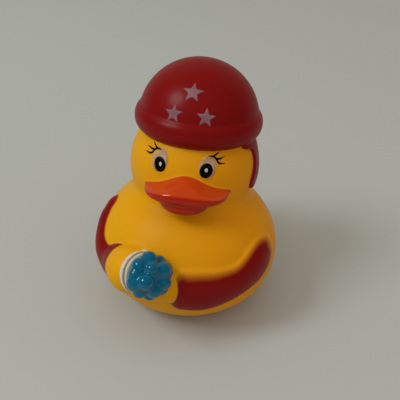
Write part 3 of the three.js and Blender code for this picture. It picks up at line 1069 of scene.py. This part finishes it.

# %% [markdown]
# ### Moulded soft PVC
#
# Soft PVC comes out of the mould with a fine matt skin, and light goes a little way into it
# before it comes back. So it gives the eye a warm, waxy yellow with no sharp reflections.
# The pigment isn't stirred quite evenly: the yellow drifts towards orange in wide clouds.
# The duck's left side, away from the window, is also painted a deeper orange, which is
# painted shade. A flat colour would look like hard plastic.
#
# A mix node keeps its sockets for numbers and for colours under different numbers, which
# are named first.

# %% Yellow of the moulding
YELLOW = "#e6a50c"
# Deeper orange of the clouds, and of the painted shade on the duck's left, away from the window.
YELLOW_CLOUD_AND_SHADE = "#e29208"
CLOUD_PATCH = 16.7
CLOUD_DETAIL = 3.0
CLOUD_SHARE = 0.25
SHADE_SIDE_SPAN = 20
FACTOR = 0
NUMBER_UNDER, NUMBER_OVER, NUMBER_OUT = 2, 3, 0
COLOUR_UNDER, COLOUR_OVER, COLOUR_OUT = 6, 7, 2


def bare_yellow(tree, where):
    """The moulding's colour before any paint: its clouds, with painted shade on the duck's left.
    """
    cloud = add_node(tree, "ShaderNodeTexNoise", {
        "Vector": where, "Scale": patches_per_metre(CLOUD_PATCH), "Detail": CLOUD_DETAIL,
    }).outputs["Fac"]
    sides = add_node(tree, "ShaderNodeSeparateXYZ", {"Vector": where})
    # Painted shade: the yellow turns deeper towards the duck's left, the side away from the
    # window.
    across = add_node(tree, "ShaderNodeMapRange", {
        "Value": sides.outputs["X"], "From Min": -SHADE_SIDE_SPAN * MM, "From Max": SHADE_SIDE_SPAN * MM,
    }, interpolation_type="SMOOTHSTEP").outputs[0]
    cloud_and_shade = add_node(tree, "ShaderNodeMix", {
        FACTOR: CLOUD_SHARE, NUMBER_UNDER: across, NUMBER_OVER: cloud,
    }, data_type="FLOAT").outputs[NUMBER_OUT]
    return add_node(tree, "ShaderNodeMix", {
        FACTOR: cloud_and_shade, COLOUR_UNDER: linear(YELLOW), COLOUR_OVER: linear(YELLOW_CLOUD_AND_SHADE),
    }, data_type="RGBA").outputs[COLOUR_OUT]


print("yellow clouds to the metre:", round(patches_per_metre(CLOUD_PATCH)))

# %% [markdown]
# ### Sprayed paint
#
# Vinyl paint is sprayed through masks. It is opaque, and its edge is made of droplets, so
# an edge is a little ragged under the eye. Real droplets are about 0.05 mm wide, too fine
# to show in the render, so the grit is drawn at 0.4 mm. The same grit gives the skin its
# fine matt bump.
#
# A stored distance becomes paint by a step: full inside the line, none outside it. A
# smooth step has no visible kink at either end.

# %% Paint edges
GRIT_PATCH = 0.4
GRIT_DETAIL = 2.0
GRIT_SPREAD = 0.12
# How soft each edge is, in millimetres to either side of the mask's line.
EDGE_SOFTNESS = {
    "red": 0.25,
    "lower_orange": 0.2,
    "orange": 0.2,
    "white": 0.15,
    "blue": 0.12,
    "grime": 0.2,
}


def cover(tree, area_name, drift):
    """How much of an area's paint lies at a point, from 0 to 1."""
    spot = add_node(tree, "ShaderNodeAttribute", attribute_name=area_name).outputs["Fac"]
    edge = add_node(tree, "ShaderNodeMath", {0: spot, 1: drift}, operation="ADD").outputs[0]
    softness = EDGE_SOFTNESS[area_name]
    return add_node(tree, "ShaderNodeMapRange", {
        "Value": edge, "From Min": -softness, "From Max": softness, "To Min": 1.0, "To Max": 0.0,
    }, interpolation_type="SMOOTHSTEP").outputs[0]


print("edges in mm:", {name: 2 * softness for name, softness in EDGE_SOFTNESS.items()})

# %% [markdown]
# The beak's orange turns to a deep red wherever the beak faces down, which is painted
# shade: bright on top and dark along its lip. The direction that a face looks in tells
# where that is, which saves one more stored area.

# %% Orange of the beak
ORANGE = "#c8420c"
# The orange in shade, painted where the beak faces down and over the lower bill.
ORANGE_SHADED = "#ac1e06"
TURNED_DOWN = 0.45
TURNED_UP = 0.82


def beak_orange(tree):
    # Painted shade: faces that turn down get the darker orange.
    facing = add_node(tree, "ShaderNodeNewGeometry").outputs["Normal"]
    split = add_node(tree, "ShaderNodeSeparateXYZ", {"Vector": facing})
    steep = add_node(tree, "ShaderNodeMapRange", {
        "Value": split.outputs["Z"], "From Min": TURNED_DOWN, "From Max": TURNED_UP,
        "To Min": 1.0, "To Max": 0.0,
    }, interpolation_type="SMOOTHSTEP").outputs[0]
    return add_node(tree, "ShaderNodeMix", {
        FACTOR: steep, COLOUR_UNDER: linear(ORANGE), COLOUR_OVER: linear(ORANGE_SHADED),
    }, data_type="RGBA").outputs[COLOUR_OUT]


print("orange from", ORANGE, "to", ORANGE_SHADED)

# %% [markdown]
# Now the paints are laid on in the order of the sprayer: red first, and the fine work last.
# Opaque paint hides what is under it, so each layer is one mix of what was there and the
# new colour. The red is opaque and even, the white has yellowed a little, and the blue is
# a green-blue like bath water.

# %% Paint on the moulding
RED = "#810a08"
WHITE = "#d6d2c6"
BLUE = "#04607f"
# The darker brown laid along the bottom of the collar's groove.
GROOVE_BROWN = "#8a6a48"


def painted(tree, where, grit):
    """The colour of the whole moulding: each paint lies on what was sprayed before."""
    drift = add_node(tree, "ShaderNodeMapRange", {
        "Value": grit, "To Min": -GRIT_SPREAD, "To Max": GRIT_SPREAD}).outputs[0]
    gone = add_node(tree, "ShaderNodeAttribute", attribute_name="red_fade").outputs["Fac"]
    kept = add_node(tree, "ShaderNodeMapRange", {
        "Value": gone, "To Min": 1.0, "To Max": 0.0}).outputs[0]
    colour = bare_yellow(tree, where)
    for area_name, paint in (
        ("red", linear(RED)),
        # The lower bill, under the upper one, is painted all in the darker orange: painted
        # shade.
        ("lower_orange", linear(ORANGE_SHADED)),
        ("orange", beak_orange(tree)),
        ("white", linear(WHITE)),
        ("blue", linear(BLUE)),
        ("grime", linear(GROOVE_BROWN)),
    ):
        covered = cover(tree, area_name, drift)
        if area_name == "red":
            covered = add_node(
                tree, "ShaderNodeMath", {0: covered, 1: kept}, operation="MULTIPLY").outputs[0]
        colour = add_node(tree, "ShaderNodeMix", {
            FACTOR: covered, COLOUR_UNDER: colour, COLOUR_OVER: paint,
        }, data_type="RGBA").outputs[COLOUR_OUT]
    return colour


print("paints:", RED, WHITE, BLUE, GROOVE_BROWN)

# %% [markdown]
# ### Four finishes of one skin
#
# Bare PVC is nearly matt, the red paint is satin, the beak is glossy, and the water is
# lacquered to look wet. On the real duck that is a clear binder in the paint, so here it is
# the shader's clear coat, in four strengths, each with its roughness. All four materials
# share the same colours. So a paint edge stays where it is, and only the shine changes
# from face to face.
#
# Soft PVC has an IOR of about 1.53. Its matt skin scatters most of what it reflects, so the
# specular level is far below the usual half. Red light goes furthest into it.

# %% Four finishes of one skin
PVC_IOR = 1.53
PVC_ROUGHNESS = 0.42
PVC_SPECULAR = 0.06
PVC_DEPTH = 1.5
PVC_RED_GREEN_BLUE_DEPTH = (1.0, 0.4, 0.1)
PVC_SUBSURFACE = 0.1
SKIN_BUMP = 0.05
BUMP_DEPTH = 0.05
# Each finish: its name, the weight and roughness of its coat, and the areas that have it.
FINISHES = (
    ("moulded_soft_pvc", 0.02, 0.3, ()),
    ("satin_sprayed_soft_pvc", 0.14, 0.25, ("red",)),
    ("gloss_sprayed_soft_pvc", 0.55, 0.1, ("orange", "lower_orange")),
    ("lacquered_soft_pvc", 0.9, 0.07, ("blue",)),
)


def soft_pvc(name, coat, coat_roughness):
    material, tree = blank_material(name)
    where = add_node(tree, "ShaderNodeTexCoord").outputs["Object"]
    grit = add_node(tree, "ShaderNodeTexNoise", {
        "Vector": where, "Scale": patches_per_metre(GRIT_PATCH), "Detail": GRIT_DETAIL,
    }).outputs["Fac"]
    bump = add_node(tree, "ShaderNodeBump", {
        "Height": grit, "Strength": SKIN_BUMP, "Distance": BUMP_DEPTH * MM})
    finish_surface(tree, {
        "Base Color": painted(tree, where, grit),
        "Normal": bump.outputs[0],
        "Roughness": PVC_ROUGHNESS,
        "IOR": PVC_IOR,
        "Specular IOR Level": PVC_SPECULAR,
        "Coat Weight": coat,
        "Coat Roughness": coat_roughness,
        "Subsurface Weight": PVC_SUBSURFACE,
        "Subsurface Radius": PVC_RED_GREEN_BLUE_DEPTH,
        "Subsurface Scale": PVC_DEPTH * MM,
    })
    return material


finish_of = np.zeros(count, np.int32)
moulding.data.materials.clear()
for number, (name, coat, coat_roughness, area_names) in enumerate(FINISHES):
    moulding.data.materials.append(soft_pvc(name, coat, coat_roughness))
    for area_name in area_names:
        finish_of[areas[area_name] < 0] = number
print("points of each finish:", np.bincount(finish_of).tolist())

# %% [markdown]
# A face takes the finish of its first corner. foreach_get and foreach_set copy a whole
# column of mesh data at once, which is far quicker than a loop over the faces.

# %% A finish for each face
first_loop = np.empty(len(moulding.data.polygons), np.int32)
moulding.data.polygons.foreach_get("loop_start", first_loop)
corner_of = np.empty(len(moulding.data.loops), np.int32)
moulding.data.loops.foreach_get("vertex_index", corner_of)
finish_of_face = finish_of[corner_of[first_loop]]
moulding.data.polygons.foreach_set("material_index", finish_of_face)
print("faces of each finish:", np.bincount(finish_of_face).tolist())

# %% [markdown]
# ## Print
#
# The eyes and the stars are printed by a soft silicone pad that presses ink on the skin.
# Paint areas could show them too, but a lash is finer than the mesh under it. So each print
# is a thin piece of its own. It starts as a flat outline. Rings of points shrink from the
# outline to its middle, and every point slides onto the duck and stands proud of it by the
# thickness of the ink. The last ring is sunk, so that the print closes onto the skin.

# %% Laying print on the skin
INK = 0.03
SUNK = -1
LAYING_ROUNDS = 8
LAYING_PROBE = 0.02


def lay_on(points, away, form, proud):
    """Slide points along one direction until they stand this proud of a form."""
    for _ in range(LAYING_ROUNDS):
        here = form(*points.T) - proud
        slope = (form(*(points + LAYING_PROBE * away).T) - proud - here) / LAYING_PROBE
        points = points - np.outer(here / slope, away)
    return points


print("ink stands", INK, "mm proud")

# %% [markdown]
# A patch is for ovals and stars. Its outline shrinks in rings to a point in the middle.

# %% Print patches
RING_SHARES = (0.35, 0.7, 1, 1)


def print_patch(outline, centre, right, up, form, layer):
    """Points and faces of a print whose outline winds to the left round its centre."""
    corners = len(outline)
    rings = [np.asarray(outline) * share for share in RING_SHARES]
    flat = np.vstack([np.zeros((1, 2)), *rings])
    proud = np.full(len(flat), INK * layer)
    proud[-corners:] = INK * SUNK
    points = centre + np.outer(flat[:, 0], right) + np.outer(flat[:, 1], up)
    points = lay_on(points, np.cross(right, up), form, proud)
    ahead = np.roll(np.arange(corners), -1).tolist()
    faces = [(0, 1 + a, 1 + b) for a, b in enumerate(ahead)]
    for ring in range(len(RING_SHARES) - 1):
        inner = 1 + ring * corners
        outer = inner + corners
        faces += [(inner + a, outer + a, outer + b, inner + b) for a, b in enumerate(ahead)]
    return points, faces


print("rings in a patch:", len(RING_SHARES))

# %% [markdown]
# A stroke is for lashes. It has five rows of points: sunk, raised, middle, raised, sunk.
# They start in front of the face and slide straight back onto it.

# %% Print strokes
IN_FRONT_OF_FACE = -10.0
RUNS_STROKE = 6
BACKWARDS = np.array((0, -1, 0))


def print_stroke(stations, form, layer):
    """Points and faces of a pen stroke on the face, from stations x, z and half-width."""
    line = curve_through(stations, RUNS_STROKE)
    ahead = np.gradient(line[:, :2], axis=0)
    ahead /= np.linalg.norm(ahead, axis=1)[:, None]
    points, proud = [], []
    rows = ((1, SUNK), (1, layer), (0, layer), (-1, layer), (-1, SUNK))
    for side, height in rows:
        x = line[:, 0] - side * ahead[:, 1] * line[:, 2]
        z = line[:, 1] + side * ahead[:, 0] * line[:, 2]
        points.append(np.stack([x, np.full(len(x), IN_FRONT_OF_FACE), z], 1))
        proud.append(np.full(len(x), INK * height))
    points = lay_on(np.vstack(points), BACKWARDS, form, np.concatenate(proud))
    faces = []
    for row in range(len(rows) - 1):
        for a in range(len(line) - 1):
            first, second = row * len(line) + a, (row + 1) * len(line) + a
            faces.append((first, second, second + 1, first + 1))
    return points, faces


print("points along a lash, to one station:", RUNS_STROKE)

# %% [markdown]
# All prints of one colour are one piece, as they are one press of one pad. They ride on the
# duck's body.

# %% Printed pieces


def print_object(name, prints, material):
    points, faces = [], []
    for patch_points, patch_faces in prints:
        start = sum(len(p) for p in points)
        points.append(patch_points)
        faces += [[start + number for number in face] for face in patch_faces]
    piece = new_object(name, np.vstack(points), faces)
    piece.data.shade_smooth()
    piece.data.materials.append(material)
    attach(piece, "root")
    print(name, len(faces), "faces")


print("printed pieces stand on", moulding.name)

# %% [markdown]
# ### Ink
#
# Pad-printed ink is thin and dries matt, so the colour under it shows through in clouds:
# white on the yellow face turns to peach, and white on the red helmet turns to lilac. Black
# covers best and keeps a slight sheen. Real clouds of thin ink follow the pad's fine pores,
# and are drawn here at 2.2 mm, as coarse as they need to be to show at this size. Making
# the ink see-through would be closer to the real thing, but a mix of two colours gives the
# same look and no trouble with shadows between close layers.

# %% Ink
INK_PATCH = 2.22
INK_DETAIL = 3.0
INK_THIN = (0.35, 0.65)
INK_SPECULAR = 0.08


def pad_printed_ink(name, colour, worn, roughness):
    material, tree = blank_material(name)
    where = add_node(tree, "ShaderNodeTexCoord").outputs["Object"]
    cloud = add_node(tree, "ShaderNodeTexNoise", {
        "Vector": where, "Scale": patches_per_metre(INK_PATCH), "Detail": INK_DETAIL,
    }).outputs["Fac"]
    thin = add_node(tree, "ShaderNodeMapRange", {
        "Value": cloud, "From Min": INK_THIN[0], "From Max": INK_THIN[1]}).outputs[0]
    mixed = add_node(tree, "ShaderNodeMix", {
        FACTOR: thin, COLOUR_UNDER: linear(colour), COLOUR_OVER: linear(worn),
    }, data_type="RGBA").outputs[COLOUR_OUT]
    bump = add_node(tree, "ShaderNodeBump", {
        "Height": cloud, "Strength": SKIN_BUMP, "Distance": BUMP_DEPTH * MM})
    finish_surface(tree, {
        "Base Color": mixed,
        "Normal": bump.outputs[0],
        "Roughness": roughness,
        "Specular IOR Level": INK_SPECULAR,
    })
    return material


EYE_WHITE_INK = pad_printed_ink("pad_printed_white_on_yellow", "#be9d82", "#b68b63", 0.5)
STAR_INK = pad_printed_ink("pad_printed_white_on_red", "#93676f", "#81555d", 0.5)
BLACK_INK = pad_printed_ink("pad_printed_black", "#050505", "#0c0a09", 0.35)
GLINT_INK = pad_printed_ink("pad_printed_white_on_black", "#d6d0ca", "#c8bfb6", 0.4)
print("inks:", [ink.name for ink in (EYE_WHITE_INK, STAR_INK, BLACK_INK, GLINT_INK)])

# %% [markdown]
# ### Eyes
#
# Each eye is a leaning white oval, a black pupil, and a small white glint on it. The pad
# prints them one after the other, so each stands one layer of ink above the last. Places
# and half sizes are in millimetres, across the face and up from the table, and the last
# number is the oval's lean in degrees.

# %% Eyes
RIGHT = np.array((1, 0, 0))
UP = np.array((0, 0, 1))
OVAL_CORNERS = 48


def face(x, y, z):
    bosses = np.minimum(eye_boss(x, y, z, -1), eye_boss(x, y, z, 1))
    return np.minimum(skin(x, y, z), bosses)


def oval_print(middle, half, lean_degrees, layer):
    turn = np.linspace(0, 2 * math.pi, OVAL_CORNERS, endpoint=False)
    cos, sin = math.cos(math.radians(lean_degrees)), math.sin(math.radians(lean_degrees))
    across, rise = half[0] * np.cos(turn), half[1] * np.sin(turn)
    outline = np.stack([across * cos + rise * sin, rise * cos - across * sin], 1)
    centre = np.array((middle[0], IN_FRONT_OF_FACE, middle[1]))
    return print_patch(outline, centre, RIGHT, UP, face, layer)


print_object("eye_whites", [
    oval_print((-6.8, 48.94), (2.23, 2.91), 14.5, 1),
    oval_print((5.89, 48.65), (2.12, 2.67), -8, 1),
], EYE_WHITE_INK)
print_object("eye_pupils", [
    oval_print((-6.6, 48.0), (1.62, 1.8), 8, 2),
    oval_print((5.62, 47.92), (1.66, 1.8), -12, 2),
], BLACK_INK)
print_object("eye_glints", [
    oval_print((-6.45, 48.15), (0.34, 0.5), 0, 3),
    oval_print((5.69, 48.1), (0.38, 0.49), -10, 3),
], GLINT_INK)

# %% [markdown]
# ### Lashes
#
# A line runs along the top of each eye and out to its corner, and two short lashes fan out
# above it. They are pen strokes that thin to a point. Each row gives the stations of one
# stroke: across, up and half width.

# %% Lashes
LASH = 0.2
LASH_LAYER = 1.5
LASHES = (
    ((-6.5, 51.32, 0.06), (-7.25, 51.33, LASH), (-7.95, 51.22, LASH), (-8.48, 50.78, LASH),
     (-8.91, 50.21, LASH), (-9.41, 49.7, LASH), (-10.19, 49.46, LASH), (-11.18, 49.52, 0.05)),
    ((-8.6, 50.7, LASH), (-9.71, 50.66, LASH), (-10.69, 50.81, 0.05)),
    ((-7.8, 51.25, LASH), (-8.49, 51.64, LASH), (-9.18, 52.19, 0.05)),
    ((5.81, 51.26, 0.06), (6.7, 51.17, LASH), (7.35, 50.9, LASH), (7.91, 50.36, LASH),
     (8.3, 49.76, LASH), (8.9, 49.25, LASH), (10.08, 49.07, 0.05)),
    ((7.8, 50.5, LASH), (8.84, 50.36, LASH), (9.79, 50.64, 0.05)),
    ((6.8, 51.1, LASH), (7.74, 51.49, LASH), (8.37, 51.99, 0.05)),
)
lash_strokes = [print_stroke(stations, face, LASH_LAYER) for stations in LASHES]
print_object("eye_lashes", lash_strokes, BLACK_INK)

# %% [markdown]
# ### Stars
#
# Three plain five-pointed stars on the front of the helmet. Each outline has ten corners,
# turned a little as printed, and is laid in the plane that touches the helmet there. That
# keeps a star's shape on the dome, where one laid straight from the front would stretch.

# %% Stars
STAR_WAIST = 0.42
STAR_CORNERS = 10
POINTS_EACH_SIDE = 4
IN_FRONT_OF_HELMET = -12.0
# Each star: across, up, radius and turn in degrees.
STARS = (
    (0.35, 66.16, 2.9, 1.7),
    (-3.99, 61.24, 2.6, -4.2),
    (4.4, 61.11, 2.6, 8),
)


def star_outline(radius, turn_degrees):
    corners = []
    for number in range(STAR_CORNERS):
        reach = radius if number % 2 == 0 else radius * STAR_WAIST
        turn = math.radians(90 - turn_degrees + 360 / STAR_CORNERS * number)
        corners.append((reach * math.cos(turn), reach * math.sin(turn)))
    corners = np.array(corners)
    shares = np.linspace(0, 1, POINTS_EACH_SIDE, endpoint=False)[:, None]
    after = np.roll(corners, -1, axis=0)
    return np.vstack([a + (b - a) * shares for a, b in zip(corners, after)])


def star_print(x, z, radius, turn):
    centre = lay_on(np.array([(x, IN_FRONT_OF_HELMET, z)]), BACKWARDS, helmet, 0)[0]
    steps = PROBE * np.eye(3)
    away = np.array([helmet(*(centre + step)) - helmet(*(centre - step)) for step in steps])
    away /= np.linalg.norm(away)
    up = UP - away * away[2]
    up /= np.linalg.norm(up)
    return print_patch(star_outline(radius, turn), centre, np.cross(up, away), up, helmet, 1)


print_object("helmet_stars", [star_print(*star) for star in STARS], STAR_INK)

# %% [markdown]
# ### Squeaker plastics
#
# The squeaker in the base is plain moulded polythene: milky, a little waxy, and dull from
# the fine texture of its mould. The reed is a strip of clear polyester film, smooth from
# the rollers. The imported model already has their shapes, so they only get a material. The
# mould's texture is about 0.1 mm, too fine to show, and is drawn at 1.1 mm. Polythene has
# an IOR of 1.51 and polyester about 1.6.

# %% Squeaker plastics
GRAIN_PATCH = 1.11
GRAIN_DETAIL = 2.0
GRAIN_BUMP = 0.1


def plain_plastic(name, colour, roughness, ior):
    material, tree = blank_material(name)
    where = add_node(tree, "ShaderNodeTexCoord").outputs["Object"]
    grain = add_node(tree, "ShaderNodeTexNoise", {
        "Vector": where, "Scale": patches_per_metre(GRAIN_PATCH), "Detail": GRAIN_DETAIL})
    bump = add_node(tree, "ShaderNodeBump", {
        "Height": grain.outputs["Fac"], "Strength": GRAIN_BUMP, "Distance": BUMP_DEPTH * MM})
    finish_surface(tree, {
        "Base Color": linear(colour),
        "Normal": bump.outputs[0],
        "Roughness": roughness,
        "IOR": ior,
    })
    return material


polythene = plain_plastic("moulded_polythene", "#dedbd2", 0.5, 1.51)
film = plain_plastic("rolled_polyester_film", "#c4c9cc", 0.2, 1.6)
for node, material in (
    ("squeaker_case", polythene),
    ("squeaker_reed_holder", polythene),
    ("squeaker_reed", film),
):
    piece = bpy.data.objects[node]
    piece.data.materials.clear()
    piece.data.materials.append(material)
    print(node, "is", material.name)

# %% [markdown]
# ## Floor and light
#
# The duck stands on a sheet of pale matt paper that rises into a backdrop without a corner,
# as in a studio. A curved sheet shows no horizon line behind the duck.

# %% Floor
FLOOR = "#b9bbb6"
FLOOR_ROUGHNESS = 0.9
SHEET_REACH = 1.5
# How far back and how high each line across the sheet lies, in metres.
SHEET = (
    (-SHEET_REACH, 0), (0.35, 0), (0.5, 0.03), (0.6, 0.12), (0.65, 0.3), (0.65, SHEET_REACH),
)


def paper_floor():
    corners = [(side * SHEET_REACH, along, up) for along, up in SHEET for side in (-1, 1)]
    strips = [(2 * i, 2 * i + 1, 2 * i + 3, 2 * i + 2) for i in range(len(SHEET) - 1)]
    mesh = bpy.data.meshes.new("floor")
    mesh.from_pydata(corners, [], strips)
    floor = bpy.data.objects.new("floor", mesh)
    bpy.context.scene.collection.objects.link(floor)
    mesh.shade_smooth()
    material, tree = blank_material("matt_paper")
    finish_surface(tree, {"Base Color": linear(FLOOR), "Roughness": FLOOR_ROUGHNESS})
    mesh.materials.append(material)


paper_floor()
print("floor is", FLOOR)

# %% [markdown]
# One large soft lamp from the duck's right is the window. It is round, because its
# reflection shows on the helmet and the beak, and a square one would look like a screen.

# %% Window light
WINDOW_PLACE = (-0.75, -0.45, 0.95)
WINDOW_WIDTH = 0.5
WINDOW_POWER = 6.2
WINDOW_COLOUR = "#e9f6ff"
AIM = (0, 0, 0.035)


def window_light():
    data = bpy.data.lights.new("window", "AREA")
    data.shape = "DISK"
    data.size = WINDOW_WIDTH
    data.energy = WINDOW_POWER
    data.color = linear(WINDOW_COLOUR)[:3]
    lamp = bpy.data.objects.new("window", data)
    aim = Vector(AIM) - Vector(WINDOW_PLACE)
    turn = aim.to_track_quat("-Z", "Y").to_matrix().to_4x4()
    lamp.matrix_world = Matrix.Translation(WINDOW_PLACE) @ turn
    bpy.context.scene.collection.objects.link(lamp)


window_light()
print("window", WINDOW_WIDTH, "m wide,", WINDOW_POWER, "W")

# %% [markdown]
# The rest of the room fills the shadows. It is a warm even sky, brighter overhead than at
# the horizon. Reflections don't see it: a whole bright sky in a clear coat lays a white
# haze over the deep red and blue, which a real room, with its dark corners, doesn't.

# %% Room light
SKY = "#fbf2e6"
SKY_LOW = 0.42
SKY_HIGH = 0.85


def room_light():
    world = bpy.data.worlds.new("sky")
    world.use_nodes = True
    tree = world.node_tree
    where = add_node(tree, "ShaderNodeTexCoord").outputs["Generated"]
    split = add_node(tree, "ShaderNodeSeparateXYZ", {"Vector": where})
    glow = add_node(tree, "ShaderNodeMapRange", {
        "Value": split.outputs["Z"], "To Min": SKY_LOW, "To Max": SKY_HIGH})
    background = tree.nodes["Background"]
    background.inputs["Color"].default_value = linear(SKY)
    tree.links.new(glow.outputs[0], background.inputs["Strength"])
    world.cycles_visibility.glossy = False
    bpy.context.scene.world = world


room_light()
print("sky from", SKY_LOW, "to", SKY_HIGH)
